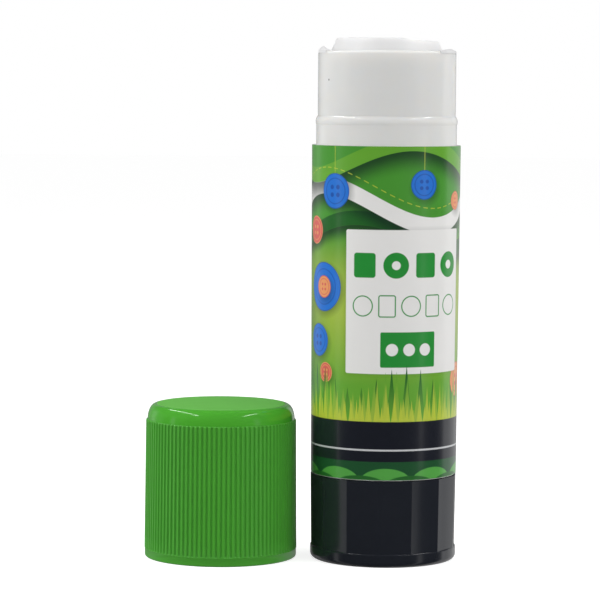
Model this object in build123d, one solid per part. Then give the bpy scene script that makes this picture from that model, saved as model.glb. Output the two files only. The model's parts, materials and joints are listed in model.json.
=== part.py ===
from build123d import *
import math
import os

# Glue stick in millimetres, +Z up, stood on its knob with the cap off and stood beside it.
# The origin is the middle of the knob's underside, on the axis of the stick, and -Y is the front.

# Knob: round flange and faceted grip outside, collar and spindle socket inside
flange_height = 2.40
flange_proud = 0.03
flange_foot_round = 0.90
flange_lip_round = 0.30
grip_height = 12.44
grip_proud = 0.16
grip_draft = 0.17
facet_count = 14
facet_swell = 0.12
front_corner_turn = -4.9
corner_round = 0.35
knob_wall = 1.05
knob_floor = 1.60
foot_recess_depth = 0.60
foot_ring_width = 2.60
collar_rise = 5.20
collar_wall = 1.10
collar_lead = 0.40
snap_ring_height = 0.30
snap_ring_width = 1.20
snap_ring_drop = 1.50
socket_depth = 6.50
socket_wall = 1.60
socket_flats = 5.00

# Tube: body under the label, stepped neck with a bead that the cap clicks over
tube_foot_gap = 0.12
body_length = 56.74
body_top_radius = 12.72
body_draw_in = 0.22
body_wall = 2.07
neck_length = 16.10
neck_wall = 1.23
neck_foot_step = 0.24
neck_foot_length = 3.46
bead_height = 0.10
bead_width = 1.50
mouth_round = 0.55
mouth_lead = 0.30
guide_count = 3
guide_width = 1.40
guide_height = 0.45
guide_mouth_gap = 1.50

# Label: printed film wrapped round the body, with its seam at the back
label_thickness = 0.08
label_glue_line = 0.02
label_foot_margin = 0.14
label_top_margin = 0.04
label_seam_gap = 0.30

# Spindle: left-hand screw up the middle, its hexagon foot held in the knob's socket
thread_lead = 5.00
thread_crest_radius = 3.90
thread_root_radius = 2.80
thread_crest_turn = 70.0
thread_flank_turn = 55.0
thread_foot_drop = 2.00
thread_length = 59.70
spindle_flange_height = 1.20
spindle_tip_length = 1.00
spindle_tip_chamfer = 0.60

# Carrier: cup under the glue with a nut in its middle
carrier_rise = 2.60
cup_height = 9.00
cup_wall = 1.00
cup_floor = 1.40
nut_height = 6.60
nut_wall = 1.75

# Glue: cast round the nut, tapered and softly rounded at its top
glue_top_height = 90.00
glue_taper_height = 4.00
glue_taper_draw_in = 1.64
glue_edge_round = 0.45
worn_step_depth = 0.43
worn_step_offset = 3.40

# Cap: flat top, rounded shoulder, fine upright ribs and a plain band at the mouth
cap_stand_gap = 2.39
cap_offset_y = 0.44
cap_height = 26.65
cap_wall = 0.99
cap_disc_inset = 1.63
cap_groove_width = 0.22
cap_groove_depth = 0.08
cap_shoulder_height = 2.68
cap_shoulder_inset = 0.25
cap_band_height = 1.54
cap_band_inset = 0.07
cap_band_round = 0.35
cap_rib_count = 100
cap_rib_depth = 0.28
cap_rib_draft = 0.20
cap_rib_crest_share = 0.34
cap_rib_root_share = 0.26
cap_bore_length = 17.20
cap_bore_step = 0.75
cap_ceiling = 1.45
cap_ceiling_round = 1.00

# Gaps between pieces, and how far cuts run past what they cut
turn_gap = 0.10
slide_gap = 0.12
thread_gap = 0.15
snap_gap = 0.15
socket_gap = 0.02
cast_gap = 0.03
cap_gap = 0.03
stop_gap = 0.10
overrun = 1.00

# Radii that several pieces share
body_foot_radius = body_top_radius - body_draw_in
bore_radius = body_top_radius - body_wall
guide_inner_radius = bore_radius - guide_height
neck_radius = bore_radius + neck_wall
neck_foot_radius = neck_radius + neck_foot_step
grip_corner_radius = body_foot_radius + label_glue_line + label_thickness + grip_proud
grip_foot_radius = grip_corner_radius - grip_draft
flange_radius = grip_foot_radius + flange_proud
collar_radius = bore_radius - turn_gap
snap_ring_radius = collar_radius + snap_ring_height
socket_radius = socket_flats / math.sqrt(3) + socket_wall
nut_radius = thread_crest_radius + thread_gap + nut_wall
cap_bore_radius = neck_foot_radius + bead_height + cap_gap
cap_rib_foot_radius = cap_bore_radius + cap_wall
cap_rib_top_radius = cap_rib_foot_radius - cap_rib_draft
cap_band_radius = cap_rib_foot_radius - cap_band_inset
cap_shoulder_radius = cap_rib_top_radius - cap_shoulder_inset
cap_disc_radius = cap_shoulder_radius - cap_disc_inset
cap_offset_x = -(flange_radius + cap_stand_gap + cap_rib_foot_radius)
cap_place = Pos(cap_offset_x, cap_offset_y, 0)

# Heights up the stick that several pieces share
knob_height = flange_height + grip_height
knob_floor_top = foot_recess_depth + knob_floor
collar_top = knob_height + collar_rise
socket_top = knob_floor_top + socket_depth
snap_ring_top = collar_top - snap_ring_drop
snap_ring_foot = snap_ring_top - snap_ring_width
tube_foot = knob_height + tube_foot_gap
shoulder = tube_foot + body_length
mouth = shoulder + neck_length
thread_foot = collar_top - thread_foot_drop
thread_top = thread_foot + thread_length
spindle_tip = thread_top + spindle_tip_length
carrier_foot = collar_top + carrier_rise
cup_floor_top = carrier_foot + cup_floor
cup_top = carrier_foot + cup_height
nut_top = carrier_foot + nut_height


def on_circle(radius, degrees, height=0):
    """Point on a circle round the Z axis."""
    angle = math.radians(degrees)
    return Vector(radius * math.cos(angle), radius * math.sin(angle), height)


def disc(radius, foot, height):
    """Upright cylinder on the Z axis that starts at a given height."""
    return Pos(0, 0, foot) * Cylinder(radius, height, align=(Align.CENTER, Align.CENTER, Align.MIN))


def turned(*edges):
    """Solid of revolution about the Z axis from a closed outline drawn as (radius, height)."""
    return revolve(Plane.XZ * make_face(edges), Axis.Z)


def lathe_corners(*points):
    """Solid of revolution from an outline of straight runs, given as (radius, height)."""
    return turned(*Polyline(*points, close=True).edges())


def guides(inner_radius, outer_radius, width, foot, top):
    """Upright bars evenly spaced round the axis, one of them at the back."""
    bars = []
    depth = outer_radius - inner_radius
    for index in range(guide_count):
        bar = Box(depth, width, top - foot, align=(Align.MIN, Align.CENTER, Align.MIN))
        turn = 90 + 360 * index / guide_count
        bars.append(Rot(0, 0, turn) * Pos(inner_radius, 0, foot) * bar)
    return bars


def thread_section(gap):
    """Cross-section of the screw, grown by a gap on its radii and, along the axis, on its flanks."""
    crest = thread_crest_radius + gap
    root = thread_root_radius + gap
    half_crest = thread_crest_turn / 2 + 360 * gap / thread_lead
    half_root = half_crest + thread_flank_turn
    crest_arc = ThreePointArc(on_circle(crest, -half_crest), on_circle(crest, 0), on_circle(crest, half_crest))
    root_arc = ThreePointArc(on_circle(root, half_root), on_circle(root, 180), on_circle(root, -half_root))
    flanks = [Line(crest_arc @ 1, root_arc @ 0), Line(root_arc @ 1, crest_arc @ 0)]
    return make_face([crest_arc, flanks[0], root_arc, flanks[1]])


def screw(gap, foot, height):
    """Left-hand screw between two heights, with its turn taken from the height, so that any two mesh."""
    section = Rot(0, 0, -360 * foot / thread_lead) * thread_section(gap)
    twist = -360 * height / thread_lead
    return Pos(0, 0, foot) * Solid.extrude_linear_with_rotation(section.face(), (0, 0, 0), (0, 0, height), twist)


def grip_outline(corner_radius, height):
    """Closed outline of the grip: bowed facets that meet in rounded upright corners."""
    facet_turn = 360 / facet_count
    middle_radius = corner_radius * math.cos(math.pi / facet_count) + facet_swell
    facets = []
    for index in range(facet_count):
        start = front_corner_turn - 90 + facet_turn * index
        facets.append(
            ThreePointArc(
                on_circle(corner_radius, start),
                on_circle(middle_radius, start + facet_turn / 2),
                on_circle(corner_radius, start + facet_turn),
            )
        )
    outline = make_face(facets)
    return Pos(0, 0, height) * fillet(outline.vertices(), radius=corner_round)


def make_knob():
    """Moulded knob: flange and grip as one shell, with a collar that snaps into the tube."""
    flange = disc(flange_radius, 0, flange_height)
    flange = fillet(flange.edges().sort_by(Axis.Z)[0], flange_foot_round)
    flange = fillet(flange.edges().filter_by(GeomType.CIRCLE).sort_by(Axis.Z)[-1], flange_lip_round)
    grip_foot = flange_height - flange_lip_round
    grip = loft(
        [
            grip_outline(grip_foot_radius, grip_foot),
            grip_outline(grip_corner_radius, knob_height),
        ],
        ruled=True,
    )
    facet_radius = grip_foot_radius * math.cos(math.pi / facet_count)
    shell_bore = facet_radius - knob_wall
    hollow = disc(shell_bore, knob_floor_top, knob_height)
    recess_radius = flange_radius - flange_foot_round - foot_ring_width
    recess = disc(recess_radius, -overrun, foot_recess_depth + overrun)
    recess -= disc(socket_radius, -overrun, foot_recess_depth + overrun)
    collar_height = collar_top - knob_floor_top
    collar = disc(collar_radius, knob_floor_top, collar_height)
    collar = chamfer(collar.edges().sort_by(Axis.Z)[-1], collar_lead)
    snap_ring = lathe_corners(
        (collar_radius - collar_wall / 2, snap_ring_foot),
        (collar_radius, snap_ring_foot),
        (snap_ring_radius, snap_ring_foot + snap_ring_height),
        (snap_ring_radius, snap_ring_top - 2 * snap_ring_height),
        (collar_radius, snap_ring_top),
        (collar_radius - collar_wall / 2, snap_ring_top),
    )
    collar_bore = disc(collar_radius - collar_wall, knob_floor_top, collar_height + overrun)
    boss = disc(socket_radius, knob_floor_top, socket_depth)
    socket_corner_radius = socket_flats / math.sqrt(3)
    socket = extrude(RegularPolygon(socket_corner_radius, 6), socket_depth + overrun)
    socket = Pos(0, 0, knob_floor_top) * socket
    knob = flange + grip - hollow - recess
    knob = knob + (collar + snap_ring - collar_bore)
    return knob + (boss - socket)


def make_tube():
    """Moulded barrel: tapered body, stepped neck, smooth bore with upright guides."""
    neck_foot_top = shoulder + neck_foot_length
    bead_top = neck_foot_top + bead_width
    bead_middle = (neck_foot_top + bead_top) / 2
    bead = ThreePointArc(
        (neck_foot_radius, neck_foot_top),
        (neck_foot_radius + bead_height, bead_middle),
        (neck_radius, bead_top),
    )
    straight = Line((neck_radius, bead_top), (neck_radius, mouth - mouth_round))
    rim = RadiusArc((neck_radius, mouth - mouth_round), (neck_radius - mouth_round, mouth), -mouth_round)
    groove_radius = snap_ring_radius + turn_gap
    groove_foot = snap_ring_foot - snap_gap
    groove_top = snap_ring_top + snap_gap
    inside = Polyline(
        (neck_radius - mouth_round, mouth),
        (bore_radius + mouth_lead, mouth),
        (bore_radius, mouth - mouth_lead),
        (bore_radius, groove_top),
        (groove_radius, groove_top),
        (groove_radius, groove_foot),
        (bore_radius, groove_foot),
        (bore_radius, tube_foot),
        (body_foot_radius, tube_foot),
        (body_top_radius, shoulder),
        (neck_foot_radius, shoulder),
        (neck_foot_radius, neck_foot_top),
    )
    tube = turned(bead, straight, rim, *inside.edges())
    guide_top = mouth - guide_mouth_gap
    root_radius = (bore_radius + neck_radius) / 2
    return tube + guides(guide_inner_radius, root_radius, guide_width, collar_top + stop_gap, guide_top)


def make_label():
    """Thin sleeve on the body, drawn in at its foot as the body is, open by a hair at the back."""
    foot = tube_foot + label_foot_margin
    top = shoulder - label_top_margin
    taper = (body_top_radius - body_foot_radius) / body_length
    inner_foot = body_foot_radius + label_glue_line + taper * (foot - tube_foot)
    inner_top = body_foot_radius + label_glue_line + taper * (top - tube_foot)
    sleeve = lathe_corners(
        (inner_foot, foot),
        (inner_foot + label_thickness, foot),
        (inner_top + label_thickness, top),
        (inner_top, top),
    )
    seam = Box(label_seam_gap, body_top_radius, body_length, align=(Align.CENTER, Align.MIN, Align.MIN))
    return sleeve - Pos(0, bore_radius, tube_foot) * seam


def make_spindle():
    """Screw with a hexagon foot, a flange that sits on the socket and a plain tip."""
    foot_corner_radius = (socket_flats - 2 * socket_gap) / math.sqrt(3)
    foot = Pos(0, 0, knob_floor_top) * extrude(RegularPolygon(foot_corner_radius, 6), socket_depth)
    flange = disc(socket_radius, socket_top, spindle_flange_height)
    shank_foot = socket_top + spindle_flange_height
    shank = disc(thread_root_radius, shank_foot, thread_foot - shank_foot)
    tip = disc(thread_root_radius - thread_gap, thread_top, spindle_tip_length)
    tip = chamfer(tip.edges().sort_by(Axis.Z)[-1], spindle_tip_chamfer)
    return Part() + foot + flange + shank + screw(0, thread_foot, thread_length) + tip


def make_carrier():
    """Cup with a threaded nut in its floor and notches that ride on the tube's guides."""
    outer_radius = bore_radius - slide_gap
    cup = disc(outer_radius, carrier_foot, cup_height)
    cup -= disc(outer_radius - cup_wall, cup_floor_top, cup_height)
    cup += disc(nut_radius, carrier_foot, nut_height)
    cup -= screw(thread_gap, carrier_foot - overrun, nut_height + 2 * overrun)
    notch_inner = guide_inner_radius - slide_gap
    notch_width = guide_width + 2 * slide_gap
    for notch in guides(notch_inner, bore_radius, notch_width, carrier_foot - overrun, cup_top + overrun):
        cup -= notch
    return cup


def make_glue():
    """Adhesive cast in the cup and the bore, hollow round the screw, tapered where it stands out."""
    outer_radius = bore_radius - slide_gap
    foot_radius = outer_radius - cup_wall - cast_gap
    taper_foot = glue_top_height - glue_taper_height
    stick = disc(foot_radius, cup_floor_top, cup_top - cup_floor_top)
    stick += disc(outer_radius, cup_top, taper_foot - cup_top)
    head = lathe_corners(
        (0, taper_foot),
        (outer_radius, taper_foot),
        (outer_radius - glue_taper_draw_in, glue_top_height),
        (0, glue_top_height),
    )
    head = fillet(head.edges().sort_by(Axis.Z)[-1], glue_edge_round)
    stick += head
    worn_foot = glue_top_height - worn_step_depth
    worn = Box(outer_radius, 2 * outer_radius, overrun, align=(Align.MIN, Align.CENTER, Align.MIN))
    stick -= Pos(worn_step_offset, 0, worn_foot) * worn
    stick -= disc(nut_radius + cast_gap, cup_floor_top - overrun, nut_top + cast_gap - cup_floor_top + overrun)
    screw_room = carrier_rise + stop_gap
    stick -= disc(thread_crest_radius + thread_gap, nut_top, spindle_tip + screw_room - nut_top)
    notch_inner = guide_inner_radius - slide_gap
    notch_width = guide_width + 2 * slide_gap
    for notch in guides(notch_inner, bore_radius, notch_width, cup_floor_top, glue_top_height):
        stick -= notch
    return stick


def rib_outline(crest_radius, height):
    """Closed outline of the ribbed side: one flat crest and one flat root for each rib."""
    root_radius = crest_radius - cap_rib_depth
    pitch = 360 / cap_rib_count
    half_crest = pitch * cap_rib_crest_share / 2
    half_root = pitch * cap_rib_root_share / 2
    points = []
    for index in range(cap_rib_count):
        middle = -90 + pitch * index
        points.append(on_circle(crest_radius, middle - half_crest, height))
        points.append(on_circle(crest_radius, middle + half_crest, height))
        points.append(on_circle(root_radius, middle + pitch / 2 - half_root, height))
        points.append(on_circle(root_radius, middle + pitch / 2 + half_root, height))
    return make_face(Polyline(*points, close=True))


def make_cap():
    """Moulded cap: ribbed side, plain band at the mouth, rounded shoulder and flat top."""
    rib_top = cap_height - cap_shoulder_height
    ribs = loft(
        [
            rib_outline(cap_rib_foot_radius, cap_band_height),
            rib_outline(cap_rib_top_radius, rib_top),
        ],
        ruled=True,
    )
    band = disc(cap_band_radius, 0, cap_band_height)
    band = fillet(band.edges().sort_by(Axis.Z)[0], cap_band_round)
    groove_outer = cap_disc_radius + cap_groove_width
    groove_foot = cap_height - cap_groove_depth
    shoulder_reach = cap_shoulder_radius - groove_outer
    shoulder_rise = groove_foot - rib_top
    shoulder_curve = EllipticalCenterArc((groove_outer, rib_top), shoulder_reach, shoulder_rise, arc_size=90)
    top_runs = Polyline(
        (groove_outer, groove_foot),
        (cap_disc_radius, groove_foot),
        (cap_disc_radius, cap_height),
        (0, cap_height),
        (0, rib_top),
        (cap_shoulder_radius, rib_top),
    )
    top = turned(shoulder_curve, *top_runs.edges())
    bore = disc(cap_bore_radius, -overrun, cap_bore_length + overrun)
    loft_top = cap_height - cap_ceiling
    upper = disc(cap_bore_radius - cap_bore_step, cap_bore_length - overrun, loft_top - cap_bore_length + overrun)
    upper = fillet(upper.edges().sort_by(Axis.Z)[-1], cap_ceiling_round)
    return cap_place * (ribs + band + top - bore - upper)


parts = {
    "knob": make_knob(),
    "tube": make_tube(),
    "label": make_label(),
    "spindle": make_spindle(),
    "carrier": make_carrier(),
    "glue": make_glue(),
    "cap": make_cap(),
}
os.makedirs("parts", exist_ok=True)
for name, piece in parts.items():
    export_step(piece, f"parts/{name}.step")
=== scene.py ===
import json
import math

import bmesh
import bpy
from mathutils import Matrix, Vector


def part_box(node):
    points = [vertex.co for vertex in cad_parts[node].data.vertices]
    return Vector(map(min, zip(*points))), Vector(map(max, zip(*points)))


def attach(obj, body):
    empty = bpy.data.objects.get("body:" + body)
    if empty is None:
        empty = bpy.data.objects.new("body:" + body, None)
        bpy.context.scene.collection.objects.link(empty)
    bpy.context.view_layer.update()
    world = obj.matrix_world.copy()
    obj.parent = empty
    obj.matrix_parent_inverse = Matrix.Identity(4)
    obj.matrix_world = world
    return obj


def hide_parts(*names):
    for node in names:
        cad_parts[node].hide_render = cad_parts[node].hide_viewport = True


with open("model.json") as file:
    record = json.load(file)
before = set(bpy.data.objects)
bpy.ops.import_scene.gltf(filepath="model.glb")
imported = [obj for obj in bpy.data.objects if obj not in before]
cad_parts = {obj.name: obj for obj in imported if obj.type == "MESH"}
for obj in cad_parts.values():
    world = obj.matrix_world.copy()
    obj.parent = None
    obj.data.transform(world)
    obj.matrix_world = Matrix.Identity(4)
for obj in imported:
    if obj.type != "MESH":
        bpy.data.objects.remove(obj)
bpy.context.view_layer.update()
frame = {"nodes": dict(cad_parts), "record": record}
nodes = frame["nodes"]
mounts = {mount["name"]: mount for mount in frame["record"]["mounts"]}
mm = 0.001

# Knob: one moulding in black plastic, a round flange under fourteen slightly bowed facets.
# Its collar snaps into the foot of the tube and its socket holds the screw, so it is the piece
# that the hand turns. The mould left a soft gloss, and handling left fine scratches round it.
knob_dark = (0.0135, 0.0160, 0.0225, 1)
knob_light = (0.0165, 0.0190, 0.0260, 1)
knob_roughness = 0.17
knob_scratch_depth = 0.0015 * mm


class Field:
    """A value that a node tree works out at every point. Arithmetic on it adds Math nodes."""

    def __init__(self, tree, socket):
        self.tree = tree
        self.socket = socket

    def math(self, operation, *others):
        return node(self.tree, "ShaderNodeMath", self, *others, operation=operation)

    def __add__(self, other):
        return self.math("ADD", other)

    def __sub__(self, other):
        return self.math("SUBTRACT", other)

    def __mul__(self, other):
        return self.math("MULTIPLY", other)

    def __truediv__(self, other):
        return self.math("DIVIDE", other)

    def __neg__(self):
        return self.math("MULTIPLY", -1)

    def inverse(self):
        """1 less the value, which turns a mask inside out."""
        return (-self) + 1


def plug(tree, value, socket):
    """Join a field to a socket, or set the socket to a plain value."""
    if isinstance(value, Field):
        tree.links.new(value.socket, socket)
    elif value is not None:
        socket.default_value = value


def node(tree, kind, *values, out=0, named=None, **settings):
    """Add a node, feed its sockets in order or by name, and hand back one of its outputs."""
    made = tree.nodes.new(kind)
    for name, value in settings.items():
        setattr(made, name, value)
    for index, value in enumerate(values):
        plug(tree, value, made.inputs[index])
    for name, value in (named or {}).items():
        plug(tree, value, made.inputs[name])
    return Field(tree, made.outputs[out])


def paint(under, mask, over):
    """Lay one colour over another where a mask is 1."""
    made = mask.tree.nodes.new("ShaderNodeMix")
    made.data_type = "RGBA"
    plug(mask.tree, mask, made.inputs[0])
    plug(mask.tree, under, made.inputs[6])
    plug(mask.tree, over, made.inputs[7])
    return Field(mask.tree, made.outputs[2])


def new_finish(name):
    """A material with its node tree, its main shader and the piece's own coordinates in metres."""
    material = bpy.data.materials.new(name)
    material.use_nodes = True
    tree = material.node_tree
    place = node(tree, "ShaderNodeTexCoord", out=3)
    return material, tree, tree.nodes["Principled BSDF"], place


def stretched(place, scale):
    """The same coordinates scaled by a different amount along each axis."""
    return node(place.tree, "ShaderNodeMapping", place, named={"Scale": scale})


def cloud(place, scale, detail=3.0):
    """Soft noise from 0 to 1."""
    return node(place.tree, "ShaderNodeTexNoise", named={"Vector": place, "Scale": scale, "Detail": detail})


def moulded(name, dark, light, roughness, grain=0.0006 * mm):
    """Moulded plastic: nearly even colour, roughness that wanders a little, faint orange peel."""
    material, tree, shader, place = new_finish(name)
    plug(tree, paint(dark, cloud(place, 160), light), shader.inputs["Base Color"])
    plug(tree, cloud(place, 420) * 0.06 + (roughness - 0.03), shader.inputs["Roughness"])
    peel = node(
        tree,
        "ShaderNodeBump",
        named={"Strength": 1.0, "Distance": grain, "Height": cloud(place, 2200, 2.0)},
    )
    plug(tree, peel, shader.inputs["Normal"])
    return material, tree, shader, place, peel


knob_coat = moulded("knob_black_plastic", knob_dark, knob_light, knob_roughness)
knob_finish, tree, shader, place, peel = knob_coat
scratches = cloud(stretched(place, (300, 300, 9000)), 1.0, 6.0)
worn = node(
    tree,
    "ShaderNodeBump",
    named={"Strength": 0.35, "Distance": knob_scratch_depth, "Height": scratches, "Normal": peel},
)
plug(tree, worn, shader.inputs["Normal"])
nodes["knob"].material_slots[0].material = knob_finish

# Screw and carrier: the two mouldings in natural white plastic that nobody sees. The screw
# stands in the knob's socket, and the carrier climbs it with the glue cast round its nut.
inner_dark = (0.72, 0.71, 0.68, 1)
inner_light = (0.80, 0.79, 0.77, 1)
inner_roughness = 0.38

inner_finish = moulded("natural_inner_plastic", inner_dark, inner_light, inner_roughness)[0]
for name in ("spindle", "carrier"):
    nodes[name].material_slots[0].material = inner_finish

# Tube: the barrel, moulded in milky plastic that lets some light through its wall. Only its
# neck shows: a stepped spout with the bead that the cap clicks over and a rounded mouth.
tube_dark = (0.800, 0.789, 0.764, 1)
tube_light = (0.825, 0.815, 0.790, 1)
tube_roughness = 0.14
tube_scatter_share = 0.55
tube_scatter = (3.0 * mm, 2.6 * mm, 2.2 * mm)
speck_grey = (0.16, 0.16, 0.15, 1)
speck_place = (-10.07 * mm, -6.30 * mm, 82.8 * mm)
speck_radius = 0.16 * mm

tube_coat = moulded("milky_tube_plastic", tube_dark, tube_light, tube_roughness)
tube_finish, tree, shader, place, peel = tube_coat
from_speck = node(tree, "ShaderNodeVectorMath", place, speck_place, operation="DISTANCE", out=1)
speck = node(tree, "ShaderNodeMapRange", from_speck, speck_radius * 1.3, speck_radius * 0.7)
milk = paint(tube_dark, cloud(place, 160), tube_light)
plug(tree, paint(milk, speck, speck_grey), shader.inputs["Base Color"])
shader.inputs["Subsurface Weight"].default_value = tube_scatter_share
shader.inputs["Subsurface Radius"].default_value = tube_scatter
shader.inputs["Subsurface Scale"].default_value = 1.0
nodes["tube"].material_slots[0].material = tube_finish

# Glue: a stick of firm white adhesive cast round the carrier's nut, as wide as the bore. It
# stands 2 mm out of the mouth with a tapered top, and its right-hand side is rubbed lower.
glue_low, glue_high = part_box("glue")
cup_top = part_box("carrier")[1].z
screw_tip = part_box("spindle")[1].z
glue_radius = glue_high.x
glue_cup_radius = glue_radius - 1.15 * mm
glue_bore = 4.05 * mm
glue_bore_rise = 2.7 * mm
glue_bore_step = 2 * mm
glue_taper_height = 4.0 * mm
glue_taper_draw_in = 1.64 * mm
glue_edge_round = 0.45 * mm
glue_columns = 360
glue_rows_apart = 1.5 * mm
glue_white = (0.790, 0.790, 0.795, 1)
glue_shade = (0.765, 0.765, 0.768, 1)
glue_roughness = 0.34
glue_roughness_spread = 0.12
glue_scatter_share = 0.7
glue_scatter = (2.2 * mm, 2.1 * mm, 2.0 * mm)
glue_wax_depth = 0.004 * mm
worn_depth = 0.43 * mm
worn_start = 2.2 * mm
worn_width = 2.3 * mm
notch_count = 3
notch_half_width = 0.82 * mm
notch_floor = glue_radius - 0.45 * mm
lump_height = 0.05 * mm


def lathe(name, outline, columns, closed=False):
    """Mesh turned about the Z axis from points (radius, height), outside faces running upwards."""
    verts = []
    rings = []
    for radius, height in outline:
        start = len(verts)
        if radius == 0:
            verts.append((0, 0, height))
            rings.append([start] * columns)
            continue
        for column in range(columns):
            angle = 2 * math.pi * column / columns
            verts.append((radius * math.cos(angle), radius * math.sin(angle), height))
        rings.append([start + column for column in range(columns)])
    pairs = list(zip(rings, rings[1:]))
    if closed:
        pairs.append((rings[-1], rings[0]))
    faces = []
    for lower, upper in pairs:
        for column in range(columns):
            after = (column + 1) % columns
            corners = (lower[column], lower[after], upper[after], upper[column])
            faces.append(tuple(dict.fromkeys(corners)))
    mesh = bpy.data.meshes.new(name)
    mesh.from_pydata(verts, [], faces)
    mesh.validate()
    return mesh


def run(start, stop, steps):
    """Evenly spaced points of an outline from one point to another, the last one left out."""
    return [
        (start[0] + (stop[0] - start[0]) * i / steps, start[1] + (stop[1] - start[1]) * i / steps)
        for i in range(steps)
    ]


def bend(centre, reach, start, stop, steps):
    """Points of an outline round part of an ellipse, with its reach across and up, in degrees."""
    points = []
    for i in range(steps + 1):
        angle = math.radians(start + (stop - start) * i / steps)
        points.append((centre[0] + reach[0] * math.cos(angle), centre[1] + reach[1] * math.sin(angle)))
    return points


def new_shaper(name, sizes):
    """Geometry Nodes tree with a geometry socket at each end and one named input for each size."""
    tree = bpy.data.node_groups.new(name, "GeometryNodeTree")
    tree.interface.new_socket("Geometry", in_out="INPUT", socket_type="NodeSocketGeometry")
    tree.interface.new_socket("Geometry", in_out="OUTPUT", socket_type="NodeSocketGeometry")
    for size in sizes:
        tree.interface.new_socket(size, in_out="INPUT", socket_type="NodeSocketFloat")
    source = tree.nodes.new("NodeGroupInput")
    given = {socket.name: Field(tree, socket) for socket in source.outputs if socket.name}
    return tree, given


def shape(name, mesh, tree, sizes, material, crease=35.0):
    """Run a tree on a mesh, keep the result as a plain mesh object, and mark its sharp edges."""
    rough = bpy.data.objects.new(name + "_rough", mesh)
    bpy.context.scene.collection.objects.link(rough)
    modifier = rough.modifiers.new("shape", "NODES")
    modifier.node_group = tree
    for item in tree.interface.items_tree:
        if item.in_out == "INPUT" and item.name in sizes:
            modifier[item.identifier] = sizes[item.name]
    bpy.context.view_layer.update()
    depsgraph = bpy.context.evaluated_depsgraph_get()
    plain = bpy.data.meshes.new_from_object(rough.evaluated_get(depsgraph))
    bpy.data.objects.remove(rough)
    plain.name = name
    return finish_mesh(name, plain, material, crease)


def finish_mesh(name, mesh, material, crease=35.0):
    """Smooth a mesh except at its creases, give it its material and put it in the scene."""
    mesh.shade_smooth()
    mesh.set_sharp_from_angle(angle=math.radians(crease))
    if not mesh.materials:
        mesh.materials.append(material)
    piece = bpy.data.objects.new(name, mesh)
    bpy.context.scene.collection.objects.link(piece)
    return piece


def coordinates(tree):
    """Place of each point of the geometry: x, y, z, distance from the axis and angle round it."""
    position = node(tree, "GeometryNodeInputPosition")
    x, y, z = (node(tree, "ShaderNodeSeparateXYZ", position, out=axis) for axis in range(3))
    reach = (x * x + y * y).math("SQRT")
    return position, x, y, z, reach, y.math("ARCTAN2", x)


def close_shaper(tree, geometry, material):
    """End a tree with Realize Instances and Set Material."""
    real = node(tree, "GeometryNodeRealizeInstances", geometry)
    dressed = node(tree, "GeometryNodeSetMaterial", named={"Geometry": real, "Material": material})
    plug(tree, dressed, tree.nodes.new("NodeGroupOutput").inputs[0])


glue_finish, tree, shader, place = new_finish("waxy_white_glue")
plug(tree, paint(glue_shade, cloud(place, 240), glue_white), shader.inputs["Base Color"])
dull = cloud(place, 900) * glue_roughness_spread + glue_roughness
plug(tree, dull, shader.inputs["Roughness"])
shader.inputs["Subsurface Weight"].default_value = glue_scatter_share
shader.inputs["Subsurface Radius"].default_value = glue_scatter
shader.inputs["Subsurface Scale"].default_value = 1.0
wax = node(
    tree,
    "ShaderNodeBump",
    named={"Strength": 1.0, "Distance": glue_wax_depth, "Height": cloud(place, 700, 3.0)},
)
plug(tree, wax, shader.inputs["Normal"])

cast, given = new_shaper(
    "cast_glue",
    ("Notches", "Notch half width", "Notch floor", "Worn depth", "Worn start", "Worn width", "Lump height"),
)
position, x, y, z, reach, angle = coordinates(cast)
lap = given["Notches"]
in_notch = ((angle - math.pi / 2) * lap * 0.5).math("SINE").math("ABSOLUTE") * reach * 2 / lap
in_notch = in_notch.math("LESS_THAN", given["Notch half width"])
in_notch = in_notch * reach.math("GREATER_THAN", glue_cup_radius)
rubbed = node(
    cast,
    "ShaderNodeMapRange",
    x,
    given["Worn start"],
    given["Worn start"] + given["Worn width"],
    interpolation_type="SMOOTHSTEP",
)
high = node(cast, "ShaderNodeMapRange", z, glue_high.z - glue_taper_height, glue_high.z)
lumps = node(cast, "ShaderNodeTexNoise", named={"Vector": position, "Scale": 260.0, "Detail": 2.0})
narrower = (-(in_notch * (reach - given["Notch floor"]).math("MAXIMUM", 0))) / reach
lower = -(rubbed * given["Worn depth"] + lumps * given["Lump height"]) * high
move = node(cast, "ShaderNodeCombineXYZ", x * narrower, y * narrower, lower)
moved = node(cast, "GeometryNodeSetPosition", named={"Geometry": given["Geometry"], "Offset": move})
close_shaper(cast, moved, glue_finish)

taper_foot = glue_high.z - glue_taper_height
taper_top = glue_radius - glue_taper_draw_in
taper_lean = math.degrees(math.atan2(glue_taper_draw_in, glue_taper_height))
edge_centre = (taper_top - glue_edge_round, glue_high.z - glue_edge_round)
glue_rows = round((taper_foot - cup_top) / glue_rows_apart)
glue_outline = [
    *run((glue_bore, cup_top - glue_bore_step), (glue_bore, glue_low.z), 2),
    *run((glue_bore, glue_low.z), (glue_cup_radius, glue_low.z), 4),
    *run((glue_cup_radius, glue_low.z), (glue_cup_radius, cup_top), 4),
    *run((glue_cup_radius, cup_top), (glue_radius, cup_top), 2),
    *run((glue_radius, cup_top), (glue_radius, taper_foot), glue_rows),
    *run((glue_radius, taper_foot), (taper_top, glue_high.z - glue_edge_round), 6),
    *bend(edge_centre, (glue_edge_round, glue_edge_round), taper_lean, 90, 5),
    *run((taper_top - 2 * glue_edge_round, glue_high.z), (0, glue_high.z), 12),
    (0, glue_high.z),
]
bore_outline = [
    (0, screw_tip + glue_bore_rise),
    (glue_bore, screw_tip + glue_bore_rise),
    (glue_bore, cup_top - glue_bore_step),
]
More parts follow.
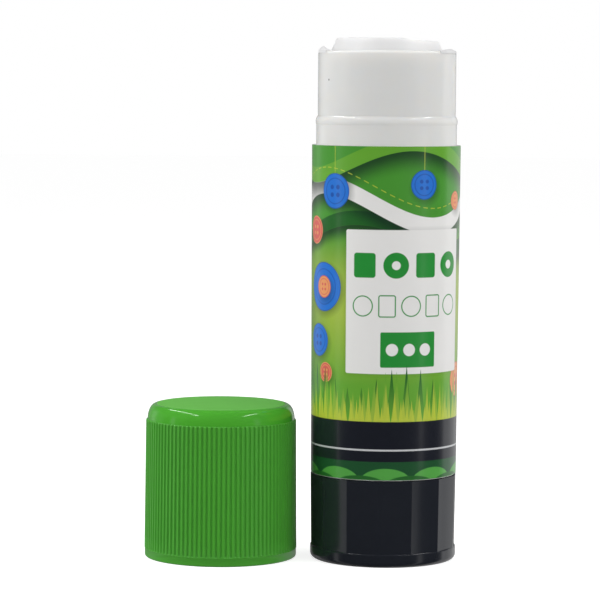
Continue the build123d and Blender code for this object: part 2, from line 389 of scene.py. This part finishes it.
glue = shape(
    "glue_stick",
    lathe("glue_stick", bore_outline + glue_outline[1:], glue_columns),
    cast,
    {
        "Notches": float(notch_count),
        "Notch half width": notch_half_width,
        "Notch floor": notch_floor,
        "Worn depth": worn_depth,
        "Worn start": worn_start,
        "Worn width": worn_width,
        "Lump height": lump_height,
    },
    glue_finish,
)
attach(glue, "carrier")
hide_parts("glue")

# Dried glue: a lump on the left of the rim and a low smear on its right, left there each time
# the glue was wound down. It has set on the plastic, so it stays with the tube.
glue_stands_out = 2.2 * mm
rim_width = 1.13 * mm
rim_overhang = 0.02 * mm
neck_radius = mounts["neck"]["dims"]["r_mm"] * mm
rim_height = glue_high.z - glue_stands_out
rim_inner = neck_radius - rim_width
rim_outer = neck_radius + rim_overhang
smear_columns = 40
smear_rows = 12
smear_sink = 0.30 * mm
smear_inner_sink = 0.25
smear_outer_start = 0.55
smear_end_thinning = 1.2
smear_unevenness = 0.12
smear_lumps = 9
smear_crease = 75.0
dried_roughness = 0.38
smears = (
    {"middle": 188.0, "half_turn": 19.0, "height": 0.74 * mm, "peak": 0.38, "reach": 0.95},
    {"middle": -8.0, "half_turn": 34.0, "height": 0.42 * mm, "peak": 0.10, "reach": 1.0},
)


def smear_mesh(name):
    """Closed lumps that lie along the rim, highest part way across and thin at their ends."""
    verts = []
    faces = []
    for smear in smears:
        start = len(verts)
        for column in range(smear_columns + 1):
            along = 2 * column / smear_columns - 1
            angle = math.radians(smear["middle"] + smear["half_turn"] * along)
            uneven = 1 + smear_unevenness * math.sin(smear_lumps * along + smear["middle"])
            swell = (1 - along * along) ** smear_end_thinning * uneven
            for row in range(smear_rows + 1):
                across_rim = row / smear_rows
                outer = rim_inner + (rim_outer - rim_inner) * smear["reach"]
                radius = rim_inner + (outer - rim_inner) * across_rim
                if across_rim < smear["peak"]:
                    rise = math.sin(math.pi / 2 * across_rim / smear["peak"])
                else:
                    rise = math.cos(math.pi / 2 * (across_rim - smear["peak"]) / (1 - smear["peak"]))
                height = rim_height + smear["height"] * swell * rise
                edge = max(0.0, across_rim - smear_outer_start) / (1 - smear_outer_start)
                foot = rim_height - smear_sink * (smear_inner_sink + edge * edge)
                for z in (height, foot):
                    verts.append((radius * math.cos(angle), radius * math.sin(angle), z))
        wall = 2 * (smear_rows + 1)
        top = list(range(0, wall, 2))
        loop = top + list(range(wall - 1, 0, -2))
        for column in range(smear_columns):
            near = start + column * wall
            far = near + wall
            for one, two in zip(loop, loop[1:] + loop[:1]):
                faces.append((near + one, near + two, far + two, far + one))
        for row in range(smear_rows):
            ends = (start + 2 * row, start + 2 * row + 1, start + 2 * row + 3, start + 2 * row + 2)
            last = smear_columns * wall
            faces.append(ends)
            faces.append(tuple(last + i for i in reversed(ends)))
    mesh = bpy.data.meshes.new(name)
    mesh.from_pydata(verts, [], faces)
    mesh.validate()
    outward = bmesh.new()
    outward.from_mesh(mesh)
    bmesh.ops.recalc_face_normals(outward, faces=outward.faces)
    outward.to_mesh(mesh)
    outward.free()
    return mesh


dried_finish, tree, shader, place = new_finish("dried_white_glue")
plug(tree, paint(glue_shade, cloud(place, 600), glue_white), shader.inputs["Base Color"])
dull = cloud(place, 900) * glue_roughness_spread + dried_roughness
plug(tree, dull, shader.inputs["Roughness"])
dried = finish_mesh("dried_glue", smear_mesh("dried_glue"), dried_finish, smear_crease)
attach(dried, "barrel")

# Cap: one moulding in green plastic, pulled off and stood beside the stick. A hundred fine
# upright ribs give grip between a plain band at the mouth and a rounded shoulder, and a hair
# of a groove runs round its flat top. Inside, a wide bore clicks over the bead of the neck.
cap_low, cap_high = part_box("cap")
cap_centre = Vector((mounts["cap_bore"]["pos_m"][0], mounts["cap_bore"]["pos_m"][1], 0))
cap_bore = mounts["cap_bore"]["dims"]["r_mm"] * mm
cap_bore_length = mounts["cap_bore"]["dims"]["length_mm"] * mm
cap_radius = (cap_high.x - cap_low.x) / 2
cap_height = cap_high.z
cap_draft = 0.20 * mm
cap_band_height = 1.54 * mm
cap_band_inset = 0.07 * mm
cap_band_round = 0.35 * mm
cap_shoulder_height = 2.68 * mm
cap_shoulder_inset = 0.25 * mm
cap_disc_inset = 1.63 * mm
cap_groove_width = 0.22 * mm
cap_groove_depth = 0.08 * mm
cap_bore_step = 0.75 * mm
cap_ceiling = 1.45 * mm
cap_ceiling_round = 1.0 * mm
cap_rib_count = 100
cap_rib_depth = 0.26 * mm
cap_rib_columns = 12
cap_rib_run_out = 0.25 * mm
cap_rib_crest_edge = 0.55
cap_rib_valley_edge = -0.75
cap_crease = 50.0
cap_dark = (0.070, 0.398, 0.028, 1)
cap_light = (0.076, 0.414, 0.031, 1)
# Painted light: the flat top gets a paler green that stands in for the brighter light it catches from
# above.
cap_top_painted_light = (0.137, 0.530, 0.068, 1)
cap_roughness = 0.11
cap_side_dulling = 0.30
cap_disc_dulling = 0.42
cap_side_blend = 0.1 * mm
cap_disc_start = 0.07 * mm
cap_disc_full = 0.02 * mm

rib_top = cap_height - cap_shoulder_height
cap_finish, tree, shader, place, peel = moulded("green_cap_plastic", cap_dark, cap_light, cap_roughness)
height = node(tree, "ShaderNodeSeparateXYZ", place, out=2)
on_side = node(tree, "ShaderNodeMapRange", height, rib_top + cap_side_blend, rib_top)
disc_start = cap_height - cap_disc_start
on_disc = node(tree, "ShaderNodeMapRange", height, disc_start, cap_height - cap_disc_full)
dull = on_side * cap_side_dulling + on_disc * cap_disc_dulling + (cap_roughness - 0.03)
dull = cloud(place, 420) * 0.06 + dull
plug(tree, dull, shader.inputs["Roughness"])
green = paint(cap_dark, cloud(place, 160), cap_light)
# The paler green on the flat top is a painted highlight for the light from above, not the plastic's own
# colour.
plug(tree, paint(green, on_disc, cap_top_painted_light), shader.inputs["Base Color"])

ribbing, given = new_shaper("cap_ribs", ("Ribs", "Rib depth", "Foot", "Top", "Run out", "Inner radius"))
_, x, y, z, reach, angle = coordinates(ribbing)
wave = (angle * given["Ribs"] + math.pi / 2 * (cap_rib_count % 4)).math("COSINE")
valley = node(
    ribbing,
    "ShaderNodeMapRange",
    wave,
    cap_rib_crest_edge,
    cap_rib_valley_edge,
    interpolation_type="SMOOTHSTEP",
)
from_foot = node(ribbing, "ShaderNodeMapRange", z - given["Foot"], 0.0, given["Run out"])
from_top = node(ribbing, "ShaderNodeMapRange", given["Top"] - z, 0.0, given["Run out"])
on_side = reach.math("GREATER_THAN", given["Inner radius"])
sink = valley * from_foot * from_top * on_side * given["Rib depth"]
inward = -(sink / reach)
move = node(ribbing, "ShaderNodeCombineXYZ", x * inward, y * inward, 0.0)
moved = node(ribbing, "GeometryNodeSetPosition", named={"Geometry": given["Geometry"], "Offset": move})
close_shaper(ribbing, moved, cap_finish)

rib_top_radius = cap_radius - cap_draft
shoulder_radius = rib_top_radius - cap_shoulder_inset
disc_radius = shoulder_radius - cap_disc_inset
groove_outer = disc_radius + cap_groove_width
groove_floor = cap_height - cap_groove_depth
band_radius = cap_radius - cap_band_inset
loft_radius = cap_bore - cap_bore_step
ceiling = cap_height - cap_ceiling
crest_round = cap_shoulder_inset
cap_outline = [
    (cap_bore, 0),
    *run((cap_bore, 0), (band_radius - cap_band_round, 0), 2)[1:],
    *bend((band_radius - cap_band_round, cap_band_round), (cap_band_round, cap_band_round), -90, 0, 4),
    (band_radius, cap_band_height - 0.06 * mm),
    (cap_radius, cap_band_height),
    (cap_radius, cap_band_height + 0.02 * mm),
    *run(
        (cap_radius, cap_band_height + cap_rib_run_out),
        (rib_top_radius, rib_top - 2 * cap_rib_run_out),
        10,
    ),
    (rib_top_radius, rib_top - cap_rib_run_out - crest_round),
    (rib_top_radius, rib_top - crest_round),
    *bend((shoulder_radius, rib_top - crest_round), (crest_round, crest_round), 22, 90, 3),
    *bend(
        (groove_outer, rib_top),
        (shoulder_radius - groove_outer, groove_floor - rib_top),
        4,
        90,
        14,
    ),
    (groove_outer, groove_floor),
    (disc_radius + cap_groove_width / 4, groove_floor),
    (disc_radius, groove_floor + cap_groove_depth / 2),
    (disc_radius - cap_groove_depth / 2, cap_height),
    *run((disc_radius - 2 * cap_groove_depth, cap_height), (0, cap_height), 3),
    (0, cap_height),
    (0, ceiling),
    *bend(
        (loft_radius - cap_ceiling_round, ceiling - cap_ceiling_round),
        (cap_ceiling_round, cap_ceiling_round),
        90,
        0,
        6,
    ),
    (loft_radius, cap_bore_length),
    (cap_bore, cap_bore_length),
]
cap_mesh = lathe("cap", cap_outline, cap_rib_count * cap_rib_columns, closed=True)
cap = shape(
    "ribbed_cap",
    cap_mesh,
    ribbing,
    {
        "Ribs": float(cap_rib_count),
        "Rib depth": cap_rib_depth,
        "Foot": cap_band_height,
        "Top": rib_top,
        "Run out": cap_rib_run_out,
        "Inner radius": cap_bore + cap_bore_step / 2,
    },
    cap_finish,
    crease=cap_crease,
)
cap.data.transform(Matrix.Translation(cap_centre))
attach(cap, "cap")
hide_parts("cap")

# Label: a printed film wrapped round the body, its seam a hair open at the back. The print is
# a plain craft pattern: ribbons and buttons above, a pale panel with plain shapes in the
# middle, then a fringe of cut points, a black band with a pale line and a scalloped edge.
label_low, label_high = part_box("label")
label_top_radius = label_high.x
label_draw_in = 0.22 * mm
label_film = 0.08 * mm
label_seam = 0.30 * mm
label_columns = 360
label_rows = 24
label_roughness = 0.30
print_radius = 12.72
band_foot = 18.22
band_top = 25.05
line_height = 20.19
line_width = 0.30
panel_centre = (4.2, 45.4)
panel_half = (11.5, 12.2)
panel_round = 0.35
back_middle = 29.0
back_half_width = 7.8
heavy_row = 51.6
fine_row = 44.7
dotted_row = 37.3
arch_half_width = 4.5
film_edge = 0.06
label_coat_weight = 0.25
label_coat_roughness = 0.12
label_ripple_depth = 0.05 * mm


def ink(red, green, blue):
    """Printing ink from its screen values, 0 to 255, as a linear colour."""
    linear = [((c / 255 + 0.055) / 1.055) ** 2.4 for c in (red, green, blue)]
    return (*linear, 1)


leaf_green = ink(74, 154, 50)
deep_green = ink(36, 104, 40)
night_green = ink(22, 48, 36)
spring_green = ink(164, 192, 66)
grass_green = ink(104, 172, 50)
lime_green = ink(190, 206, 64)
paper_white = ink(240, 239, 237)
line_grey = ink(206, 208, 210)
panel_green = ink(36, 148, 56)
sky_blue = ink(24, 116, 216)
dark_blue = ink(18, 84, 176)
orange = ink(238, 160, 100)
coral = ink(222, 96, 88)
band_black = ink(27, 30, 40)
scallop_dark = ink(28, 84, 46)
scallop_light = ink(84, 168, 70)

label_finish, tree, shader, place = new_finish("printed_label_film")
east, north, height = (node(tree, "ShaderNodeSeparateXYZ", place, out=axis) for axis in range(3))
turn = east.math("ARCTAN2", -north)
across = turn * print_radius
up = height * 1000


def above(value, edge, softness=0.10):
    """Mask that is 1 where a value is over an edge, with a soft step of the given width."""
    return node(value.tree, "ShaderNodeMapRange", value - edge, -softness / 2, softness / 2)


def below(value, edge, softness=0.10):
    """Mask that is 1 where a value is under an edge."""
    return above(value, edge, softness).inverse()


def away(x, y):
    """Distance on the film from a point x mm round from the front and y mm up."""
    return ((across - x).math("POWER", 2) + (up - y).math("POWER", 2)).math("SQRT")


def beyond_box(x, y, half_x, half_y, round_by):
    """Distance outside a box with rounded corners."""
    over_x = ((across - x).math("ABSOLUTE") - (half_x - round_by)).math("MAXIMUM", 0)
    over_y = ((up - y).math("ABSOLUTE") - (half_y - round_by)).math("MAXIMUM", 0)
    return (over_x * over_x + over_y * over_y).math("SQRT") - round_by


def swing(middle, rise, laps, start):
    """Height of a wave that goes round the film a whole number of times."""
    return (turn * laps + start).math("SINE") * rise + middle


def ribbon(art, line, half_width, colour, shade, fade):
    """Ribbon along a wave, with a soft shadow under its lower edge."""
    drop = up - line
    dark = node(
        tree,
        "ShaderNodeMapRange",
        drop,
        -half_width - fade,
        -half_width,
        interpolation_type="SMOOTHSTEP",
    )
    shadow = dark * below(drop, -half_width)
    art = paint(art, shadow * 0.85, shade)
    return paint(art, below(drop.math("ABSOLUTE"), half_width), colour)


def button(art, x, y, radius, colour, rim):
    """Sewing button with a rim, four holes and a soft shadow to its lower right."""
    shadow = below(away(x + 0.35, y - 0.5), radius, 1.8) * 0.6
    art = paint(art, shadow, night_green)
    art = paint(art, below(away(x, y), radius), rim)
    art = paint(art, below(away(x, y), radius - 0.14), colour)
    ring = (away(x, y) - radius * 0.72).math("ABSOLUTE")
    art = paint(art, below(ring, 0.09, 0.12) * 0.8, rim)
    hole = radius * 0.22
    for side_x, side_y in ((-1, -1), (-1, 1), (1, -1), (1, 1)):
        spot = away(x + side_x * hole, y + side_y * hole)
        art = paint(art, below(spot, radius * 0.13), rim)
    return art


def thread(art, x, foot):
    """Fine thread that hangs a button from the top edge of the film."""
    strand = below((across - x).math("ABSOLUTE"), 0.07, 0.06) * above(up, foot)
    return paint(art, strand * 0.7, lime_green)


def stitches(art, line, colour):
    """Row of short stitches along a wave."""
    dash = above((across * 1.35).math("PINGPONG", 1), 0.42, 0.10)
    return paint(art, below((up - line).math("ABSOLUTE"), 0.08, 0.06) * dash * 0.8, colour)


def spikes(art, foot, height, width, shift, colour, tip_colour):
    """Fringe cut into narrow points of uneven height, lighter at the foot."""
    blade = ((across + shift) * (2 / width)).math("PINGPONG", 1)
    uneven = (across * (0.9 / width) + shift).math("SINE") * 0.22 + 0.78
    edge = blade.math("POWER", 1.6) * uneven * height + foot
    rising = node(tree, "ShaderNodeMapRange", up, foot, foot + height * 0.8)
    return paint(art, below(up, edge, 0.14), paint(colour, rising, tip_colour))


def arches(shift, rise):
    """Height of a row of round arches that stand side by side."""
    along = (across + shift).math("PINGPONG", arch_half_width)
    inside = ((along * along) * -1 + arch_half_width ** 2).math("MAXIMUM", 0)
    return inside.math("SQRT") * rise


art = paint(leaf_green, below(up, 52.5, 9), spring_green)
art = paint(art, below(up, 37.0, 12), grass_green)
art = paint(art, below(across, -13.5, 6) * below(up, 50, 10) * 0.45, deep_green)
art = ribbon(art, swing(57.0, 2.6, 2, 2.4), 1.2, deep_green, night_green, 3.0)
art = ribbon(art, swing(61.6, 3.4, 2, 3.4), 1.45, paper_white, night_green, 3.6)
art = ribbon(art, swing(69.4, 2.8, 2, 0.9), 1.3, grass_green, night_green, 4.2)
art = stitches(art, swing(64.6, 3.4, 2, 3.4), lime_green)
for x in (-9.8, 6.4):
    art = thread(art, x, 66.0)
blue = (sky_blue, dark_blue)
amber = (orange, coral)
red = (coral, orange)
sewn_on = (
    (-9.8, 64.0, 3.0, blue),
    (6.4, 65.2, 2.5, blue),
    (14.6, 62.4, 1.6, amber),
    (-15.4, 57.2, 2.4, red),
    (-12.6, 47.6, 4.2, blue),
    (-12.6, 47.6, 1.9, amber),
    (-14.2, 38.4, 2.8, blue),
    (-12.0, 33.0, 1.7, red),
    (16.6, 31.6, 3.0, amber),
    (-25.5, 63.0, 2.6, blue),
    (-28.5, 50.0, 3.6, amber),
    (-22.8, 40.5, 2.2, red),
    (-33.0, 39.0, 2.6, blue),
)
for x, y, radius, inks in sewn_on:
    art = button(art, x, y, radius, *inks)

front_panel = beyond_box(*panel_centre, *panel_half, panel_round)
back_panel = beyond_box(back_middle, panel_centre[1], back_half_width, panel_half[1], panel_round)
for panel in (front_panel, back_panel):
    art = paint(art, below(panel, 0.0, 1.4) * 0.30, night_green)
    art = paint(art, below(panel, 0.0), paper_white)
art = paint(art, below(beyond_box(back_middle, 54.0, 5.4, 0.9, 0.3), 0.0), panel_green)
for step in range(7):
    ruled = beyond_box(back_middle, 50.0 - 2.2 * step, 6.2, 0.10, 0.1)
    art = paint(art, below(ruled, 0.0), line_grey)
for step in range(4):
    x = panel_centre[0] - 8.1 + 5.4 * step
    heavy = away(x, heavy_row) - 2.2 if step % 2 else beyond_box(x, heavy_row, 1.9, 2.1, 0.5)
    art = paint(art, below(heavy, 0.0), panel_green)
    art = paint(art, below(heavy, -1.45), paper_white)
for step in range(5):
    x = panel_centre[0] - 8.4 + 4.2 * step
    fine = beyond_box(x, fine_row, 1.5, 1.9, 0.4) if step % 2 else away(x, fine_row) - 1.8
    art = paint(art, below(fine, 0.0), panel_green)
    art = paint(art, below(fine, -0.20), paper_white)
bar = beyond_box(panel_centre[0] - 0.3, dotted_row, 5.0, 3.0, 0.3)
art = paint(art, below(bar, 0.0), panel_green)
for step in range(3):
    dot = away(panel_centre[0] - 3.3 + 3.0 * step, dotted_row)
    art = paint(art, below(dot, 1.05), paper_white)

fringe = (
    (band_top + 0.2, 9.6, 2.6, 0.4, grass_green, deep_green),
    (band_top, 8.8, 1.9, 1.1, spring_green, grass_green),
    (band_top - 0.4, 7.2, 1.5, 2.3, lime_green, spring_green),
    (band_top - 0.6, 4.6, 1.1, 0.2, lime_green, lime_green),
)
for row in fringe:
    art = spikes(art, *row)
art = paint(art, below(up, band_top), band_black)
art = paint(art, below((up - line_height).math("ABSOLUTE"), line_width / 2), line_grey)

tall_arches = arches(0.0, 0.55) + 14.6
low_arches = arches(arch_half_width, 0.34) + 14.3
art = paint(art, below(up, band_foot), scallop_dark)
art = paint(art, below(up, tall_arches, 0.12) * below(up, band_foot), scallop_light)
art = paint(art, below(up, low_arches, 0.12), deep_green)
art = paint(art, below(up, label_low.z * 1000 + film_edge, 0.04) * 0.5, scallop_light)
plug(tree, art, shader.inputs["Base Color"])
plug(tree, cloud(place, 300) * 0.08 + (label_roughness - 0.04), shader.inputs["Roughness"])
shader.inputs["Coat Weight"].default_value = label_coat_weight
shader.inputs["Coat Roughness"].default_value = label_coat_roughness
ripple = cloud(stretched(place, (120, 120, 20)), 1.0, 2.0)
film = node(
    tree,
    "ShaderNodeBump",
    named={"Strength": 0.6, "Distance": label_ripple_depth, "Height": ripple},
)
plug(tree, film, shader.inputs["Normal"])


def sleeve(name, columns, rows):
    """Thin closed sleeve, drawn in a little at its foot and open at the seam behind."""
    verts = []
    half_seam = label_seam / 2 / label_top_radius
    for column in range(columns + 1):
        angle = math.pi / 2 + half_seam + (2 * math.pi - 2 * half_seam) * column / columns
        for side in (0, 1):
            for row in range(rows + 1):
                height = label_low.z + (label_high.z - label_low.z) * row / rows
                radius = label_top_radius - label_draw_in * (1 - row / rows) - label_film * side
                verts.append((radius * math.cos(angle), radius * math.sin(angle), height))
    wall = rows + 1
    loop = list(range(wall)) + [2 * wall - 1 - i for i in range(wall)]
    stride = 2 * wall
    faces = []
    for column in range(columns):
        near, far = column * stride, (column + 1) * stride
        for start, stop in zip(loop, loop[1:] + loop[:1]):
            faces.append((near + start, far + start, far + stop, near + stop))
    for row in range(rows):
        ends = (row, row + 1, wall + row + 1, wall + row)
        faces.append(ends)
        faces.append(tuple(columns * stride + i for i in reversed(ends)))
    mesh = bpy.data.meshes.new(name)
    mesh.from_pydata(verts, [], faces)
    mesh.validate()
    return mesh


label = finish_mesh("printed_label", sleeve("printed_label", label_columns, label_rows), label_finish)
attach(label, "barrel")
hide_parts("label")

# Stage: a white floor and backdrop, as inside a light tent. A long strip lamp runs front to back
# at each side and draws the thin lights on the cap's shoulder and the neck's bead, wide lamps
# fill the sides and the top, and gloss sees the tent's walls with their few bright panels.
floor_reach = 3.0
floor_pale = (0.56, 0.56, 0.56, 1)
floor_lift = 0.80
sky_fill = 0.35
ceiling_gloss = 0.10
front_gloss = 0.03
back_gloss = 0.26
wall_change = (96, 108)
roof_change = (0.22, 0.42)
floor_roughness = 0.9
panels = (
    {"middle": -80, "half_width": 4, "soft": 4, "strength": 0.80},
    {"middle": -130, "half_width": 7.5, "soft": 6, "strength": 0.60},
    {"middle": 60, "half_width": 4, "soft": 4, "strength": 0.80},
    {"middle": 136, "half_width": 26, "soft": 10, "strength": 0.75},
    {"middle": 111, "half_width": 4, "soft": 4, "strength": 1.10},
)
lamps = {
    "left_strip": {"place": (-0.24, 0.0, 0.285), "size": (0.52, 0.018), "radiance": 16.0, "in_gloss": True},
    "right_strip": {"place": (0.24, 0.0, 0.285), "size": (0.52, 0.018), "radiance": 16.0, "in_gloss": True},
    "left_wall": {"place": (-0.51, -0.09, 0.18), "size": (0.50, 0.50), "radiance": 1.85, "in_gloss": False},
    "right_wall": {"place": (0.42, -0.30, 0.18), "size": (0.50, 0.50), "radiance": 1.40, "in_gloss": False},
    "overhead": {"place": (0.0, 0.0, 0.62), "size": (0.45, 0.45), "radiance": 1.1, "in_gloss": False},
}

floor_mesh = bpy.data.meshes.new("floor")
corners = [(-floor_reach, -floor_reach, 0), (floor_reach, -floor_reach, 0)]
corners += [(floor_reach, floor_reach, 0), (-floor_reach, floor_reach, 0)]
floor_mesh.from_pydata(corners, [], [(0, 1, 2, 3)])
floor = bpy.data.objects.new("floor", floor_mesh)
bpy.context.scene.collection.objects.link(floor)
floor.visible_glossy = False
floor_finish, tree, shader, _ = new_finish("pale_floor")
shader.inputs["Base Color"].default_value = floor_pale
shader.inputs["Roughness"].default_value = floor_roughness
seen = node(tree, "ShaderNodeLightPath", out=0)
glow = node(tree, "ShaderNodeEmission", (1, 1, 1, 1), seen * floor_lift)
mixed = node(tree, "ShaderNodeAddShader", Field(tree, shader.outputs[0]), glow)
plug(tree, mixed, tree.nodes["Material Output"].inputs["Surface"])
floor_mesh.materials.append(floor_finish)

world = bpy.data.worlds.new("studio")
bpy.context.scene.world = world
world.use_nodes = True
tree = world.node_tree
outward = node(tree, "ShaderNodeTexCoord")
east, north, height = (node(tree, "ShaderNodeSeparateXYZ", outward, out=axis) for axis in range(3))
azimuth = east.math("ARCTAN2", -north) * math.degrees(1)
off_front = azimuth.math("ABSOLUTE")
walls = node(tree, "ShaderNodeMapRange", off_front, *wall_change, front_gloss, back_gloss)
for panel in panels:
    off = (azimuth - panel["middle"]).math("ABSOLUTE")
    outer, inner = panel["half_width"] + panel["soft"] / 2, panel["half_width"] - panel["soft"] / 2
    lit = node(tree, "ShaderNodeMapRange", off, outer, inner)
    walls = walls * lit.inverse() + lit * panel["strength"]
roof = node(tree, "ShaderNodeMapRange", height, *roof_change)
walls = walls * roof.inverse() + roof * ceiling_gloss
paths = tree.nodes.new("ShaderNodeLightPath")
through = Field(tree, paths.outputs["Is Transmission Ray"])
straight = Field(tree, paths.outputs["Is Camera Ray"]).math("MAXIMUM", through)
gloss = Field(tree, paths.outputs["Is Glossy Ray"])
strength = (gloss * walls + gloss.inverse() * sky_fill) * straight.inverse() + straight
background = tree.nodes["Background"]
background.inputs["Color"].default_value = (1, 1, 1, 1)
plug(tree, strength, background.inputs["Strength"])

aim = Vector((-0.012, 0, 0.045))
for name, lamp in lamps.items():
    data = bpy.data.lights.new(name + "_lamp", "AREA")
    data.shape = "RECTANGLE"
    data.size, data.size_y = lamp["size"]
    data.energy = lamp["radiance"] * math.pi * data.size * data.size_y
    light = bpy.data.objects.new(name + "_lamp", data)
    bpy.context.scene.collection.objects.link(light)
    light.location = aim + Vector(lamp["place"])
    light.rotation_mode = "QUATERNION"
    light.rotation_quaternion = (-Vector(lamp["place"])).to_track_quat("-Z", "Y")
    light.visible_camera = False
    light.visible_glossy = lamp["in_gloss"]

# Camera: a long lens almost half a metre in front, a little lower than the mouth of the tube
# and looking slightly down, as the photograph was taken.
picture_width = 600
focal_pixels = 2826.5
sensor = 36.0
look_down = math.radians(4.2436)
lean = math.radians(0.4337)
camera_place = Vector((-14.700 * mm, -488.238 * mm, 80.965 * mm))

camera_data = bpy.data.cameras.new("camera")
camera_data.sensor_width = sensor
camera_data.lens = focal_pixels * sensor / picture_width
camera_data.clip_start = 0.05
camera_data.clip_end = 20
camera = bpy.data.objects.new("camera", camera_data)
bpy.context.scene.collection.objects.link(camera)
tilt = Matrix.Rotation(math.pi / 2 - look_down, 4, "X") @ Matrix.Rotation(lean, 4, "Z")
camera.matrix_world = Matrix.Translation(camera_place) @ tilt
bpy.context.scene.camera = camera
bpy.context.scene.view_settings.view_transform = "Standard"
